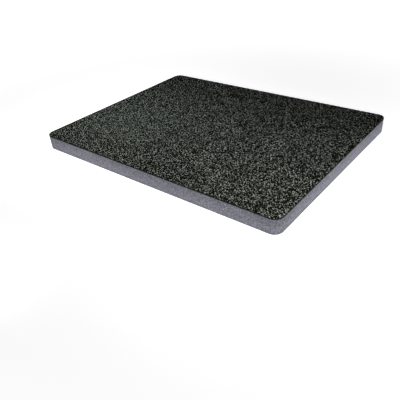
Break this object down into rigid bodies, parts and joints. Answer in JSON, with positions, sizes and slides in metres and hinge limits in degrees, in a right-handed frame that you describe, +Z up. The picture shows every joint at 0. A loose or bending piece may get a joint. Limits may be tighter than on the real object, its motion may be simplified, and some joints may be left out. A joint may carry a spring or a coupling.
{
  "type": "case foam insert",
  "caption": "Flat rectangular foam insert with round corners: a grey closed-cell foam sheet with a thin black pebbled layer on top, cut to fill the inside of an equipment case.",
  "frame": {"origin": "centre of the flat underside", "axes": "+X along the long side, +Y along the short side from front to back, +Z up through the thickness towards the black layer"},
  "size_m": [0.544, 0.419, 0.03],
  "materials": {
    "grey_foam": "matt cut closed-cell foam, lavender grey with fine open cells",
    "black_foam": "matt black foam with a fine pebbled face and pale grains"
  },
  "bodies": {
    "root": {"foam_body": "grey_foam", "top_layer": "black_foam"}
  },
  "joints": []
}
